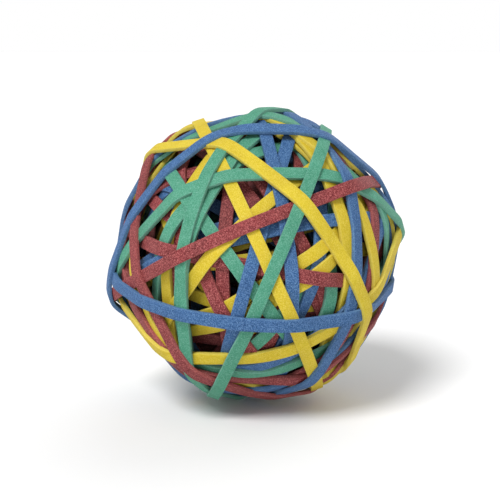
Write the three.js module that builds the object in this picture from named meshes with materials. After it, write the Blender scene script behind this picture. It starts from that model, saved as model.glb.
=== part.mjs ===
// Rubber band ball: flat rubber bands in four colours, stretched one over another round a wound core.
// Millimetres, +Z up. The ball's centre is the origin and its face looks toward -Y, tipped up a little.
import * as THREE from 'three';

const CORE_RADIUS = 27.9; // the hidden inner windings, taken as one ball
const CORE_DETAIL = 5; // subdivisions of the icosahedron that stands for the core
const BAND_WIDTH = 3.25;
const BAND_THICKNESS = 0.8; // as it settles under the bands over it
const LAY_GAP = 0.05; // air left under each band, all round
const EDGE_GAP = 0.1; // extra width on each side that a band has to clear
const MOST_SIDES = 24; // straight runs in one loop's path
const LEAST_BEND = 1e-3; // square millimetres: a corner of the path that spans less is taken as straight
const LEAST_TURN = 0.02; // sine of the smallest turn at which two runs are extended until they meet
const FACE_TILT = 10; // degrees the ball's face looks up

const RUBBER = {
  red: { color: 0x8f3540, roughness: 0.72 },
  green: { color: 0x4fa883, roughness: 0.74 },
  blue: { color: 0x4872a8, roughness: 0.74 },
  yellow: { color: 0xe4c433, roughness: 0.7 },
};
const CORE_RUBBER = { color: 0x5b4a4a, roughness: 0.85 };

// Loops laid first: an even spread over every side of the core, their colours in turn.
const SPREAD_COUNT = 10;
const SPREAD_COLOURS = ['red', 'blue', 'yellow', 'green', 'red', 'yellow', 'blue'];
const GOLDEN_ANGLE = 180 * (3 - Math.sqrt(5));

// Loops laid over those, lowest first: [colour, slant, rise, shift].
// slant: degrees the band climbs to the right where it crosses the face.
// rise: degrees it passes above the middle of the face, or below it if negative.
// shift: millimetres its plane stands off the ball's centre, toward its upper side.
const LAID = [
  ['red', -33, -8, 0],
  ['yellow', 4, -2, 0],
  ['yellow', -5, -22, 0],
  ['red', -5, 40, 0],
  ['blue', 15, 15, 0],
  ['red', -56, 12, 0],
  ['red', 88, 14, 0],
  ['red', 78, -15, 0],
  ['red', -61, 18, 0],
  ['green', 90, -32, 0],
  ['green', 58, -22, 0],
  ['blue', 76, -24, 0],
  ['yellow', 33, -12, 0],
  ['yellow', 31, -19, 0],
  ['red', -66, -23, 0],
  ['red', 70, 33, 0],
  ['yellow', 72, 37, 0],
  ['green', 49, 33, 0],
  ['yellow', -72, 44, 0],
  ['blue', 14, 8, 0],
  ['red', -10, -5, 0],
  ['green', -54, -2, -4.5],
  ['blue', 74, 1, 0],
  ['yellow', 45, 12, 0],
  ['yellow', -82, 38, 0],
  ['green', 70, 26, 0],
  ['blue', -85, 12, 0],
  ['blue', 35, -45, 0],
  ['green', 8, -55, 0],
  ['red', 71, -56, 0],
  ['yellow', -62, 51, 0],
  ['yellow', -58, -62, 0],
  ['red', -56, -74, 0],
  ['green', -28, 64, 0],
  ['blue', 24, -72, 0],
  ['yellow', -40, 84, 0],
  ['red', -20, -62, 0],
  ['blue', 4, 80, 0],
  ['yellow', 16, -40, -1.5],
  ['yellow', -66, 2, 0],
  ['green', 11, 33, -1],
  ['blue', 88, -40, -1.5],
  ['green', 77, 27, 0],
  ['red', 23, 3, 5],
  ['red', -62, -45, -5],
  ['green', 67, -2, -3.5],
  ['blue', -3, -17, -6],
  ['yellow', -46, 30, -2.5],
  ['blue', 20, 50, 1.5],
];

const rad = THREE.MathUtils.degToRad;

function rubber({ color, roughness }) {
  return new THREE.MeshStandardMaterial({ color, roughness, metalness: 0 });
}

// Axes of a loop's plane, in the frame of the ball's face: its own Z is the axis it goes round.
function planeFromFace(slant, rise) {
  return new THREE.Quaternion().setFromEuler(new THREE.Euler(-rad(rise), -rad(slant), 0, 'YXZ'));
}

// The same for the evenly spread loops, whose axes fill the upper half of the ball.
function planeFromSpread(index) {
  const height = (index + 0.5) / SPREAD_COUNT;
  const round = rad(GOLDEN_ANGLE * index);
  const flat = Math.sqrt(1 - height * height);
  const axis = new THREE.Vector3(flat * Math.cos(round), flat * Math.sin(round), height);
  return new THREE.Quaternion().setFromUnitVectors(new THREE.Vector3(0, 0, 1), axis);
}

// Edges of a solid, each once, as pairs of points in the frame of the ball's face.
function edgesOf(mesh) {
  mesh.updateMatrix();
  const position = mesh.geometry.getAttribute('position');
  const point = (i) => new THREE.Vector3().fromBufferAttribute(position, i).applyMatrix4(mesh.matrix);
  const edges = [];
  for (let i = 0; i < position.count; i += 3) {
    const [a, b, c] = [point(i), point(i + 1), point(i + 2)];
    edges.push([a, b], [b, c], [c, a]);
  }
  return edges;
}

// Where the solids already laid reach into the band's strip, as points [x, y] in the band's plane.
function pointsInStrip(edges, toPlane, halfStrip) {
  const points = [];
  for (const [from, to] of edges) {
    const a = from.clone().applyMatrix4(toPlane);
    const b = to.clone().applyMatrix4(toPlane);
    if (Math.min(a.z, b.z) > halfStrip || Math.max(a.z, b.z) < -halfStrip) continue;
    for (const end of [a, b]) {
      const wall = THREE.MathUtils.clamp(end.z, -halfStrip, halfStrip);
      const share = a.z === b.z ? 0 : (wall - a.z) / (b.z - a.z);
      const cut = end.z === wall ? end : a.clone().lerp(b, share);
      points.push([cut.x, cut.y]);
    }
  }
  return points;
}

// Convex outline of the points, anticlockwise: the path of a band pulled tight round them.
function tightOutline(points) {
  const sorted = points.slice().sort((a, b) => a[0] - b[0] || a[1] - b[1]);
  const cross = (o, a, b) => (a[0] - o[0]) * (b[1] - o[1]) - (a[1] - o[1]) * (b[0] - o[0]);
  const chain = (list) => {
    const hull = [];
    for (const p of list) {
      while (hull.length > 1 && cross(hull.at(-2), hull.at(-1), p) <= LEAST_BEND) hull.pop();
      hull.push(p);
    }
    return hull.slice(0, -1);
  };
  return [...chain(sorted), ...chain(sorted.reverse())];
}

// A convex path as its straight runs: the way each one faces and how far out it lies.
function runsOf(outline) {
  return outline.map((a, i) => {
    const b = outline[(i + 1) % outline.length];
    const facing = Math.atan2(a[0] - b[0], b[1] - a[1]);
    return { facing, reach: a[0] * Math.cos(facing) + a[1] * Math.sin(facing) };
  });
}

function cornerOf(a, b, out) {
  const turn = Math.sin(b.facing - a.facing);
  const [ra, rb] = [a.reach + out, b.reach + out];
  return [
    (ra * Math.sin(b.facing) - rb * Math.sin(a.facing)) / turn,
    (rb * Math.cos(a.facing) - ra * Math.cos(b.facing)) / turn,
  ];
}

// The path's corners with every run moved outward by out.
function cornersOf(runs, out) {
  return runs.map((run, i) => cornerOf(runs.at(i - 1), run, out));
}

// Area added when a run is dropped and its two neighbours are extended until they meet.
function costOfDropping(runs, i) {
  const [before, run, after] = [runs.at(i - 1), runs[i], runs[(i + 1) % runs.length]];
  if (Math.sin(after.facing - before.facing) < LEAST_TURN) return Infinity;
  const a = cornerOf(before, run, 0);
  const b = cornerOf(run, after, 0);
  const tip = cornerOf(before, after, 0);
  return Math.abs((a[0] - tip[0]) * (b[1] - tip[1]) - (a[1] - tip[1]) * (b[0] - tip[0])) / 2;
}

// Fewer, longer runs: the path only ever moves outward, so it stays clear of what it lies on.
function fewerRuns(runs) {
  const kept = runs.slice();
  while (kept.length > MOST_SIDES) {
    const costs = kept.map((_, i) => costOfDropping(kept, i));
    kept.splice(costs.indexOf(Math.min(...costs)), 1);
  }
  return kept;
}

function layBand(name, colour, plane, shift, edges) {
  const offset = new THREE.Vector3(0, 0, shift).applyQuaternion(plane);
  const toPlane = new THREE.Matrix4().compose(offset, plane, new THREE.Vector3(1, 1, 1)).invert();
  const points = pointsInStrip(edges, toPlane, BAND_WIDTH / 2 + EDGE_GAP);
  const runs = fewerRuns(runsOf(tightOutline(points)));
  const outline = (out) => cornersOf(runs, out).map(([x, y]) => new THREE.Vector2(x, y));
  const ring = new THREE.Shape(outline(LAY_GAP + BAND_THICKNESS));
  ring.holes.push(new THREE.Path(outline(LAY_GAP).reverse()));
  const solid = new THREE.ExtrudeGeometry(ring, { depth: BAND_WIDTH, bevelEnabled: false });
  solid.translate(0, 0, -BAND_WIDTH / 2);
  const mesh = new THREE.Mesh(solid, rubber(RUBBER[colour]));
  mesh.name = name;
  mesh.quaternion.copy(plane);
  mesh.position.copy(offset);
  return mesh;
}

const ball = new THREE.Group();
ball.name = 'rubber_band_ball';
ball.rotation.x = -rad(FACE_TILT);

const core = new THREE.Mesh(new THREE.IcosahedronGeometry(CORE_RADIUS, CORE_DETAIL), rubber(CORE_RUBBER));
core.name = 'inner_windings';
ball.add(core);

const edges = edgesOf(core);
const spread = Array.from({ length: SPREAD_COUNT }, (_, i) => {
  return { colour: SPREAD_COLOURS[i % SPREAD_COLOURS.length], plane: planeFromSpread(i), shift: 0 };
});
const laid = LAID.map(([colour, slant, rise, shift]) => {
  return { colour, plane: planeFromFace(slant, rise), shift };
});

[...spread, ...laid].forEach(({ colour, plane, shift }, i) => {
  const name = `band_${String(i + 1).padStart(2, '0')}_${colour}`;
  const band = layBand(name, colour, plane, shift, edges);
  ball.add(band);
  edges.push(...edgesOf(band));
});

// The origin is the middle of the box that holds the finished ball.
const middle = new THREE.Box3().setFromObject(ball, true).getCenter(new THREE.Vector3());
ball.position.sub(middle);

export default ball;
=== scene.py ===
"""Looks of the rubber band ball: every band as a strip of real rubber, wound in the order of the frame's nodes.

Lengths are metres unless a name says mm. Each outer band takes its plane, colour and place in the order from
the CAD node that it stands for. It is pulled tight over everything that was laid before it.
"""
import math

import bpy
import numpy as np
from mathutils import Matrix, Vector


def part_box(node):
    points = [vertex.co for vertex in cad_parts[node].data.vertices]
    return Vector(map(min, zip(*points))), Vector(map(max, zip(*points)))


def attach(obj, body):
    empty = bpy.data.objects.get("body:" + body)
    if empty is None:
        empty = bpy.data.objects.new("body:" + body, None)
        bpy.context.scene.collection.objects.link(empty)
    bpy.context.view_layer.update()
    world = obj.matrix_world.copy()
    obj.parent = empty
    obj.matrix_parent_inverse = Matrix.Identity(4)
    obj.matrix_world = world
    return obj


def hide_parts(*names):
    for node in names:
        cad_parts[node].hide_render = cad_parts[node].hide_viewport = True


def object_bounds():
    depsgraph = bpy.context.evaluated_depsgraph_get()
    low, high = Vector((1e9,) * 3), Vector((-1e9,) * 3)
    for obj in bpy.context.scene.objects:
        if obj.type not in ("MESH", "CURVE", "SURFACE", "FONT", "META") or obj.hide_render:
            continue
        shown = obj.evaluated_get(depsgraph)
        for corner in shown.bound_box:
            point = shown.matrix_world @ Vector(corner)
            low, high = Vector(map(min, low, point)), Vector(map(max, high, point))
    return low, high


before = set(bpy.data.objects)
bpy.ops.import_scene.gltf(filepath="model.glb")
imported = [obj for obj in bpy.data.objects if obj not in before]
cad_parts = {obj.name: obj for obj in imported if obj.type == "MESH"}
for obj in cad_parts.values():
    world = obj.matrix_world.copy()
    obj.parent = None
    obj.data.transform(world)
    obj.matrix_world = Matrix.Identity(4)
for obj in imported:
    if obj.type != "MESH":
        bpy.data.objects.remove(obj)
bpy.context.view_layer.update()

MM = 0.001
TURN = 2 * math.pi
TINY = 1e-9  # keeps a square root off zero
STEEP_AXIS = 0.9  # an axis that points up by more than this is squared with X, any other with Z

# The strip
THICKNESS = 1.0 * MM
BITE = 0.2  # share of its thickness by which a band settles into what it crosses
EDGE_ROUNDING = 0.10 * MM
CUT_REACH = 0.9 * EDGE_ROUNDING  # what lies this near the strip's side is cut edge
WIDTH_SPREAD = 0.07  # share by which one band is wider or narrower than another
WANDER = 0.45 * MM  # how far a band strays sideways from its plane
WANDER_WAVES = (2, 3, 5)  # waves of that straying in one turn
STEEPEST_LEAN = 0.62  # most rise across a band, as a share of its width
BEND_REACH = 1.3 * MM  # a bend over an edge is softened over this length
ROUGH_CUT = 0.05 * MM  # unevenness of the cut edges
ROUGH_RUN = 1.5  # stations over which that unevenness is softened
CREASE = math.radians(35)  # corners sharper than this stay crisp

# The winding
STATIONS = 360  # places round one band
LANES = 9  # places across it at which it feels what lies below
FACE_POINTS = 5  # points across the outer face of a strip
LIFTS = 2  # times a band is lifted clear of what still pokes through it
LEAST_FACING = 0.3  # cosine of the widest angle over which one place on a band bears on another
INNER_COUNT = 78
INNER_STATIONS = 150
INNER_FACE_POINTS = 2
INNER_START = 0.69  # radius of the bare heart, as a share of the inner windings' radius
INNER_TILT = 0.12  # spread by which an inner loop's axis strays from its even place
INNER_STRAY_MM = 2  # most that an inner loop's plane stands off the centre
INNER_COLOURS = ("red", "green", "blue", "yellow", "red", "blue")
SEED = 11

# The rubber: its plain colour, its deeper and its dustier one, and how strongly its grain shows
RUBBER = {
    "red": {
        "main": (0.245, 0.021, 0.027),
        "deep": (0.140, 0.010, 0.014),
        "dust": (0.49, 0.15, 0.14),
        "grainy": 0.95,
    },
    "green": {
        "main": (0.070, 0.325, 0.205),
        "deep": (0.040, 0.230, 0.135),
        "dust": (0.28, 0.52, 0.44),
        "grainy": 0.40,
    },
    "blue": {
        "main": (0.034, 0.125, 0.315),
        "deep": (0.018, 0.078, 0.220),
        "dust": (0.15, 0.28, 0.48),
        "grainy": 0.80,
    },
    "yellow": {
        "main": (0.660, 0.505, 0.014),
        "deep": (0.540, 0.390, 0.007),
        "dust": (0.74, 0.66, 0.18),
        "grainy": 0.36,
    },
}

# Noise in the rubber: waves in a metre, detail and roughness
CLOUDS = {"scale": 160.0, "detail": 3.0}
PATCHES = {"scale": 420.0, "detail": 3.0, "rough": 0.6}
GRAIN = {"scale": 3500.0, "detail": 3.0, "rough": 0.85}
SPECKS = {"scale": 5200.0, "detail": 1.0}
LINES = {"scale": 1.0, "detail": 2.0}
LINE_WAVES = (260.0, 5200.0, 31.0)  # along the strip, across it, and from one tone to another

# Values of each noise between which its effect goes from nothing to full
CLOUD_SPAN = (0.3, 0.7)
LINE_SPAN = (0.45, 0.75)
PIT_SPAN = (0.50, 0.40)
FLECK_SPAN = (0.50, 0.62)
SPECK_SPAN = (0.56, 0.66)
PATCH_SPAN = (0.38, 0.62)
DULL_SPAN = (0.3, 0.7)

# How strong each effect is
TONE_SHARE = 0.55  # a band's own tone, toward the deep colour
LINE_SHARE = 0.22  # the faint lines along the strip, toward the deep colour
BLOOM_SHARE = 0.45  # the bloom, toward dust
BLOOM_LEVELS = (0.1, 0.8)  # bloom outside its patches and within them
CUT_SHARE = 0.30  # the cut edges, toward dust
PIT_SHADE = 0.6  # colour of the grain's pits, as a share of the deep colour
PAINTED_SHADE_FROM, PAINTED_SHADE_TO = 29.0 * MM, 34.5 * MM  # radii between which painted shade darkens the rubber, deepest at the first and none at the second, standing in for the shade in the deep gaps
# how dark the painted shade makes the rubber at its deepest, as a share of its plain colour
DEEPEST_PAINTED_SHADE = 0.18
ROUGHNESS_LEVELS = (0.62, 0.86)
SHEEN = 0.38
BUMP_STRENGTH = 0.55
BUMP_DEPTH = 0.06 * MM
LINE_RELIEF = 0.6  # relief of the lines, where the grain's is 1

# The picture
CAMERA_RISE = math.radians(10)
CAMERA_AWAY = 0.3265
CAMERA_LENS = 90.0
CAMERA_SHIFT = (-0.010, 0.009)
FLOOR_SIZE = 12
FLOOR_COLOUR = (0.86, 0.86, 0.86)
FLOOR_ROUGHNESS = 0.9
WHITE = (1, 1, 1, 1)
DOME_LIGHT = 0.4  # brightness overhead, where the horizon is 1
HORIZON_BAND = (0.2, 0.45)  # sines of the heights between which the one gives way to the other

ANGLES = np.linspace(0, TURN, STATIONS, endpoint=False)
COSINES = np.cos(ANGLES[:, None] - ANGLES[None, :])


# ---------------------------------------------------------------- winding


class Loop:
    """One band: its plane, and how far out its left and right edges lie at each station."""

    def __init__(self, axis, shift, width, rng):
        self.axis = axis / np.linalg.norm(axis)
        steep = abs(self.axis[2]) >= STEEP_AXIS
        helper = np.array([1.0, 0.0, 0.0]) if steep else np.array([0.0, 0.0, 1.0])
        self.u = np.cross(helper, self.axis)
        self.u /= np.linalg.norm(self.u)
        self.v = np.cross(self.axis, self.u)
        self.width = width * (1 + WIDTH_SPREAD * rng.uniform(-1, 1))
        self.shift = shift + sum(
            WANDER / wave * rng.uniform(-1, 1) * np.cos(wave * ANGLES + rng.uniform(0, TURN))
            for wave in WANDER_WAVES
        )
        self.furthest = np.abs(self.shift).max() + self.width / 2
        self.left = self.right = self.least = None

    def outward(self, angles):
        return np.cos(angles)[..., None] * self.u + np.sin(angles)[..., None] * self.v

    def outer_reach(self, rays):
        """How far along each unit ray this band's outer face lies, or 0 where the ray misses it."""
        along = rays @ self.axis
        flat = np.sqrt(np.maximum(1 - along**2, TINY))
        near = np.abs(along) * self.least < self.furthest
        found = np.zeros(len(rays))
        if not near.any():
            return found
        a, f, r = along[near], flat[near], rays[near]
        place = (np.arctan2(r @ self.v, r @ self.u) % TURN) / TURN * STATIONS
        low = np.floor(place).astype(int) % STATIONS
        part = place - np.floor(place)

        def at(values):
            return values[low] * (1 - part) + values[(low + 1) % STATIONS] * part

        left, right, shift = at(self.left), at(self.right), at(self.shift)
        rest = THICKNESS * (1 - BITE)
        reach = ((left + right) / 2 + rest) / f
        across = (reach * a - shift) / self.width
        reach = (left + (right - left) * np.clip(across + 0.5, 0, 1) + rest) / f
        found[near] = np.where(np.abs(across) <= 0.5, reach, 0)
        return found


def pulled_tight(reach):
    """The convex outline round a profile of reach by station, as reach by station again."""
    support = (COSINES * reach[None, :]).max(axis=1)
    facing = np.maximum(COSINES, LEAST_FACING)
    return np.where(COSINES > LEAST_FACING, support[:, None] / facing, np.inf).min(axis=0)


def softened(values, spread):
    """Gaussian smoothing round the loop, with its spread in stations."""
    waves = np.fft.rfftfreq(len(values))
    return np.fft.irfft(np.fft.rfft(values) * np.exp(-2 * (math.pi * waves * spread) ** 2), len(values))


def lay(loop, guess, below, heart):
    """Pulls the loop tight over the loops below it, so that it banks to lie on what it crosses."""
    lanes = np.linspace(-0.5, 0.5, LANES) * loop.width
    level = loop.shift[:, None] + lanes[None, :]
    points = loop.outward(ANGLES)[:, None, :] * guess + level[..., None] * loop.axis
    rays = (points / np.linalg.norm(points, axis=2, keepdims=True)).reshape(-1, 3)
    top = np.full(len(rays), heart)
    for other in below:
        top = np.maximum(top, other.outer_reach(rays))
    ground = (top * np.sqrt(1 - (rays @ loop.axis) ** 2)).reshape(STATIONS, LANES)
    middle = LANES // 2
    left = pulled_tight(ground[:, : middle + 1].max(axis=1))
    right = pulled_tight(ground[:, middle:].max(axis=1))
    steepest = STEEPEST_LEAN * loop.width
    left, right = np.maximum(left, right - steepest), np.maximum(right, left - steepest)
    share = lanes / loop.width + 0.5
    for _ in range(LIFTS):
        surface = left[:, None] + (right - left)[:, None] * share[None, :]
        lift = np.maximum((ground - surface).max(axis=1), 0)
        left, right = pulled_tight(left + lift), pulled_tight(right + lift)
    spread = BEND_REACH / (TURN * guess / STATIONS)
    loop.left, loop.right = softened(left, spread), softened(right, spread)
    loop.least = min(loop.left.min(), loop.right.min())
    return loop


def golden_axes(count):
    """Axes spread evenly over half a ball."""
    for i in range(count):
        height = (i + 0.5) / count
        flat = math.sqrt(1 - height * height)
        turn = i * math.pi * (3 - math.sqrt(5))
        yield np.array([flat * math.cos(turn), flat * math.sin(turn), height])


def plane_of(node):
    """Axis, shift, width and mean reach of a CAD hoop, from its own corners."""
    corners = np.array([v.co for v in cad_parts[node].data.vertices])
    corners = np.unique(np.round(corners, 6), axis=0)
    centred = corners - corners.mean(axis=0)
    axis = np.linalg.eigh(centred.T @ centred)[1][:, 0]
    along = corners @ axis
    shift = (along.max() + along.min()) / 2
    reach = np.linalg.norm(corners - np.outer(along, axis), axis=1)
    return axis, shift, along.max() - along.min(), reach.mean()


def wind():
    """The hidden loops with their colours, innermost first, and the loop of each CAD hoop by its name."""
    rng = np.random.default_rng(SEED)
    low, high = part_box("inner_windings")
    core = (high - low)[0] / 2
    hoops = sorted(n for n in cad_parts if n.startswith("band_"))
    planes = {n: plane_of(n) for n in hoops}
    width = planes[hoops[0]][2]
    heart = core * INNER_START
    loops, inner, outer = [], [], {}
    axes = list(golden_axes(INNER_COUNT))
    order = rng.permutation(INNER_COUNT)
    for count, i in enumerate(order):
        tilt = rng.normal(0, INNER_TILT, 3)
        loop = Loop(axes[i] + tilt, rng.uniform(-INNER_STRAY_MM, INNER_STRAY_MM) * MM, width, rng)
        guess = heart + (core - heart) * (count + 0.5) / INNER_COUNT
        loops.append(lay(loop, guess, loops, heart))
        inner.append((INNER_COLOURS[count % len(INNER_COLOURS)], loop))
    for name in hoops:
        axis, shift, hoop_width, reach = planes[name]
        loop = lay(Loop(axis, shift, hoop_width, rng), reach, loops, heart)
        loops.append(loop)
        outer[name] = loop
    return inner, outer


# ---------------------------------------------------------------- meshes


def section(width, across):
    """Outline of the strip, as (across, out) from the middle of its inner face, with rounded corners."""
    half, r = width / 2, EDGE_ROUNDING
    face = np.linspace(-half + r, half - r, across)
    k = r * (1 - math.sqrt(0.5))
    outer = [(x, THICKNESS) for x in face]
    right = [(half - k, THICKNESS - k), (half, THICKNESS - r), (half, r), (half - k, k)]
    inner = [(half - r, 0.0), (-half + r, 0.0)]
    left = [(-half + k, k), (-half, r), (-half, THICKNESS - r), (-half + k, THICKNESS - k)]
    return np.array(outer + right + inner + left)


def strip_mesh(loop, stations, across, rng):
    """Points and quads of one strip and, for each point, if it is cut edge and where on the strip it lies."""
    keep = np.linspace(0, STATIONS, stations, endpoint=False)
    angles = keep / STATIONS * 2 * math.pi

    def at(values):
        return np.interp(keep, np.arange(STATIONS + 1), np.append(values, values[0]))

    left, right, shift = at(loop.left), at(loop.right), at(loop.shift)
    out = loop.outward(angles)
    centre = out * ((left + right) / 2)[:, None] + loop.axis * shift[:, None]
    ahead = np.roll(centre, -1, 0) - np.roll(centre, 1, 0)
    ahead /= np.linalg.norm(ahead, axis=1, keepdims=True)
    side = loop.axis * loop.width + out * (right - left)[:, None]
    side -= ahead * (side * ahead).sum(1, keepdims=True)
    side /= np.linalg.norm(side, axis=1, keepdims=True)
    up = np.cross(side, ahead)
    up *= np.sign((up * out).sum(1, keepdims=True))
    shape = section(loop.width, across)
    rough = softened(rng.normal(0, 1, stations), ROUGH_RUN) * ROUGH_CUT
    grow = 1 + rough / loop.width
    points = (
        centre[:, None, :]
        + side[:, None, :] * (shape[None, :, :1] * grow[:, None, None])
        + up[:, None, :] * shape[None, :, 1:]
    )
    n = len(shape)
    a = np.arange(stations)[:, None] * n + np.arange(n)[None, :]
    b = np.arange(stations)[:, None] * n + (np.arange(n)[None, :] + 1) % n
    quads = np.stack([a, np.roll(a, -1, 0), np.roll(b, -1, 0), b], axis=2)
    cut = (np.abs(shape[:, 0]) > loop.width / 2 - CUT_REACH).astype(float)
    length = np.cumsum(np.linalg.norm(np.roll(centre, -1, 0) - centre, axis=1))
    return {
        "points": points.reshape(-1, 3),
        "quads": quads.reshape(-1, 4),
        "cut": np.tile(cut, stations),
        "along": np.repeat(length, n),
        "across": np.tile(shape[:, 0], stations),
    }


def make_piece(name, strips, tones, colour):
    """One object from one or more strips, with what its material needs as attributes."""

    def joined(key):
        return np.concatenate([strip[key] for strip in strips])

    sizes = [len(strip["points"]) for strip in strips]
    starts = np.cumsum([0] + sizes[:-1])
    quads = np.concatenate([strip["quads"] + start for strip, start in zip(strips, starts)])
    tone = np.repeat(tones, sizes)
    run = np.stack([joined("along"), joined("across"), tone], axis=1)

    mesh = bpy.data.meshes.new(name)
    mesh.from_pydata(joined("points").tolist(), [], quads.tolist())
    for label, values in (("cut", joined("cut")), ("tone", tone)):
        mesh.attributes.new(label, "FLOAT", "POINT").data.foreach_set("value", values.astype(np.float32))
    mesh.attributes.new("run", "FLOAT_VECTOR", "POINT").data.foreach_set(
        "vector", run.astype(np.float32).ravel()
    )
    mesh.shade_smooth()
    mesh.set_sharp_from_angle(angle=CREASE)
    mesh.materials.append(RUBBERS[colour])
    piece = bpy.data.objects.new(name, mesh)
    bpy.context.scene.collection.objects.link(piece)
    return piece


# ---------------------------------------------------------------- materials


class Graph:
    """Short ways to add and link the nodes of a material or of the world."""

    def __init__(self, tree):
        self.nodes, self.links = tree.nodes, tree.links

    def feed(self, socket, value):
        """Gives a socket a colour, a number or another node's output."""
        if isinstance(value, tuple):
            socket.default_value = (*value, 1)
        elif isinstance(value, float):
            socket.default_value = value
        else:
            self.links.new(value, socket)

    def noise(self, vector, scale, detail, rough=0.5):
        node = self.nodes.new("ShaderNodeTexNoise")
        node.inputs["Scale"].default_value = scale
        node.inputs["Detail"].default_value = detail
        node.inputs["Roughness"].default_value = rough
        self.links.new(vector, node.inputs["Vector"])
        return node.outputs["Fac"]

    def fit(self, value, span, levels=(0.0, 1.0)):
        """Carries the span onto the levels, and holds what lies past its ends."""
        node = self.nodes.new("ShaderNodeMapRange")
        for key, number in zip(("From Min", "From Max", "To Min", "To Max"), (*span, *levels)):
            node.inputs[key].default_value = number
        self.links.new(value, node.inputs["Value"])
        return node.outputs["Result"]

    def mix(self, factor, a, b):
        node = self.nodes.new("ShaderNodeMix")
        node.data_type = "RGBA"
        usable = [s for s in node.inputs if s.type in ("RGBA", "VALUE") and s.enabled]
        for name, value in (("Factor", factor), ("A", a), ("B", b)):
            self.feed(next(s for s in usable if s.name == name), value)
        return next(s for s in node.outputs if s.type == "RGBA" and s.enabled)

    def maths(self, operation, a, b):
        node = self.nodes.new("ShaderNodeMath")
        node.operation = operation
        for socket, value in zip(node.inputs, (a, b)):
            self.feed(socket, value)
        return node.outputs[0]

    def length(self, vector):
        node = self.nodes.new("ShaderNodeVectorMath")
        node.operation = "LENGTH"
        self.links.new(vector, node.inputs[0])
        return node.outputs["Value"]

    def scaled(self, vector, scale):
        node = self.nodes.new("ShaderNodeVectorMath")
        node.operation = "SCALE"
        self.links.new(vector, node.inputs[0])
        self.links.new(scale, node.inputs["Scale"])
        return node.outputs["Vector"]

    def stretched(self, vector, scale):
        node = self.nodes.new("ShaderNodeMapping")
        node.inputs["Scale"].default_value = scale
        self.links.new(vector, node.inputs["Vector"])
        return node.outputs["Vector"]

    def attribute(self, label, output="Fac"):
        node = self.nodes.new("ShaderNodeAttribute")
        node.attribute_name = label
        return node.outputs[output]


def rubber_material(name, main, deep, dust, grainy):
    """Matt rubber: clouded colour, fine grain, faint lines along the strip, a bloom of pale dust, and painted
    shade that darkens the rubber lying deep in the ball.
    """
    material = bpy.data.materials.new(name)
    material.use_nodes = True
    graph = Graph(material.node_tree)
    shader = graph.nodes["Principled BSDF"]

    place = graph.nodes.new("ShaderNodeTexCoord").outputs["Object"]
    lines = graph.noise(graph.stretched(graph.attribute("run", "Vector"), LINE_WAVES), **LINES)
    clouds = graph.noise(place, **CLOUDS)
    grain = graph.noise(place, **GRAIN)
    specks = graph.noise(place, **SPECKS)
    patches = graph.noise(place, **PATCHES)

    body = graph.mix(graph.fit(clouds, CLOUD_SPAN), main, deep)
    body = graph.mix(graph.fit(graph.attribute("tone"), (0.0, 1.0), (0.0, TONE_SHARE)), body, deep)
    body = graph.mix(graph.fit(lines, LINE_SPAN, (0.0, LINE_SHARE)), body, deep)
    pit = tuple(PIT_SHADE * part for part in deep)
    grained = graph.mix(graph.fit(grain, PIT_SPAN, (0.0, grainy)), body, pit)
    grained = graph.mix(graph.fit(grain, FLECK_SPAN, (0.0, grainy)), grained, dust)
    patchy = graph.fit(patches, PATCH_SPAN, BLOOM_LEVELS)
    bloom = graph.maths("MULTIPLY", graph.fit(specks, SPECK_SPAN), patchy)
    dusty = graph.mix(graph.maths("MULTIPLY", bloom, BLOOM_SHARE), grained, dust)
    finished = graph.mix(graph.maths("MULTIPLY", graph.attribute("cut"), CUT_SHARE), dusty, dust)
    # painted shade: the base colour grows darker the nearer the rubber lies to the ball's centre, in place of
    # the shade in the gaps between bands
    shade = graph.fit(graph.length(place), (PAINTED_SHADE_FROM, PAINTED_SHADE_TO), (DEEPEST_PAINTED_SHADE, 1.0))
    graph.links.new(graph.scaled(finished, shade), shader.inputs["Base Color"])
    graph.links.new(graph.fit(grain, DULL_SPAN, ROUGHNESS_LEVELS), shader.inputs["Roughness"])
    shader.inputs["Specular IOR Level"].default_value = SHEEN

    bump = graph.nodes.new("ShaderNodeBump")
    bump.inputs["Strength"].default_value = BUMP_STRENGTH
    bump.inputs["Distance"].default_value = BUMP_DEPTH
    relief = graph.maths("ADD", grain, graph.maths("MULTIPLY", lines, LINE_RELIEF))
    graph.links.new(relief, bump.inputs["Height"])
    graph.links.new(bump.outputs["Normal"], shader.inputs["Normal"])
    return material


def plain_material(name, colour, roughness):
    material = bpy.data.materials.new(name)
    material.use_nodes = True
    shader = material.node_tree.nodes["Principled BSDF"]
    shader.inputs["Base Color"].default_value = (*colour, 1)
    shader.inputs["Roughness"].default_value = roughness
    return material


# ---------------------------------------------------------------- the ball


def build_ball():
    """One piece for each CAD hoop, and the hidden loops by colour in place of the CAD core."""
    inner, outer = wind()
    rng = np.random.default_rng(SEED + 1)
    for name, loop in outer.items():
        colour = name.rsplit("_", 1)[1]
        strip = strip_mesh(loop, STATIONS, FACE_POINTS, rng)
        piece = make_piece("strip_" + name, [strip], [rng.uniform(0, 1)], colour)
        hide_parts(name)
        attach(piece, "root")
    for colour in RUBBER:
        loops = [loop for shade, loop in inner if shade == colour]
        strips = [strip_mesh(loop, INNER_STATIONS, INNER_FACE_POINTS, rng) for loop in loops]
        piece = make_piece("inner_windings_" + colour, strips, rng.uniform(0, 1, len(strips)), colour)
        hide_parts("inner_windings")
        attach(piece, "root")


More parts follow.
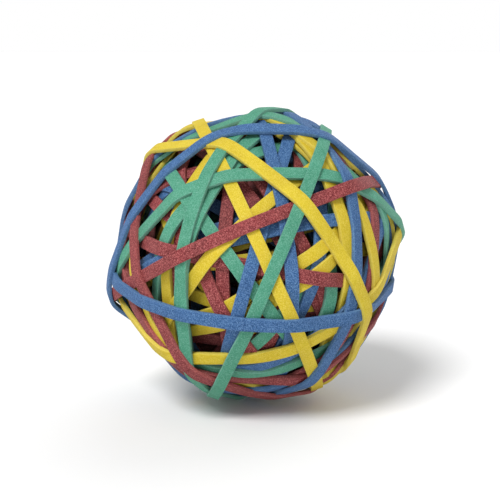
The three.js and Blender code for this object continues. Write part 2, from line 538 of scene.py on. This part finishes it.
def build_stage():
    """A pale floor under the ball, and a sky that is white at the horizon and dimmer overhead."""
    bpy.ops.mesh.primitive_plane_add(size=FLOOR_SIZE, location=(0, 0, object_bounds()[0].z))
    floor = bpy.context.object
    floor.name = "floor"
    floor.data.materials.append(plain_material("pale_floor", FLOOR_COLOUR, FLOOR_ROUGHNESS))
    world = bpy.data.worlds.new("studio")
    bpy.context.scene.world = world
    world.use_nodes = True
    graph = Graph(world.node_tree)
    split = graph.nodes.new("ShaderNodeSeparateXYZ")
    graph.links.new(graph.nodes.new("ShaderNodeTexCoord").outputs["Generated"], split.inputs[0])
    background = graph.nodes["Background"]
    background.inputs["Color"].default_value = WHITE
    fade = graph.fit(split.outputs["Z"], HORIZON_BAND, (1.0, DOME_LIGHT))
    graph.links.new(fade, background.inputs["Strength"])


def add_light(name, turn, rise, softness, strength):
    """A broad, far light: turn is degrees to the right of the camera, rise degrees above the floor."""
    data = bpy.data.lights.new(name, "SUN")
    data.angle, data.energy = math.radians(softness), strength
    light = bpy.data.objects.new(name, data)
    a, e = math.radians(turn), math.radians(rise)
    toward = Vector((math.sin(a) * math.cos(e), -math.cos(a) * math.cos(e), math.sin(e)))
    light.rotation_euler = (-toward).to_track_quat("-Z", "Y").to_euler()
    bpy.context.scene.collection.objects.link(light)


def build_camera():
    data = bpy.data.cameras.new("camera")
    data.lens = CAMERA_LENS
    data.shift_x, data.shift_y = CAMERA_SHIFT
    camera = bpy.data.objects.new("camera", data)
    camera.location = (0, -CAMERA_AWAY * math.cos(CAMERA_RISE), CAMERA_AWAY * math.sin(CAMERA_RISE))
    camera.rotation_euler = (-camera.location).to_track_quat("-Z", "Y").to_euler()
    bpy.context.scene.collection.objects.link(camera)
    bpy.context.scene.camera = camera


RUBBERS = {colour: rubber_material(colour + "_rubber", **tints) for colour, tints in RUBBER.items()}
build_ball()
build_stage()
build_camera()
add_light("key", turn=-30, rise=50, softness=22, strength=2.7)
add_light("back", turn=150, rise=38, softness=60, strength=0.9)
bpy.context.scene.view_settings.view_transform = "Standard"
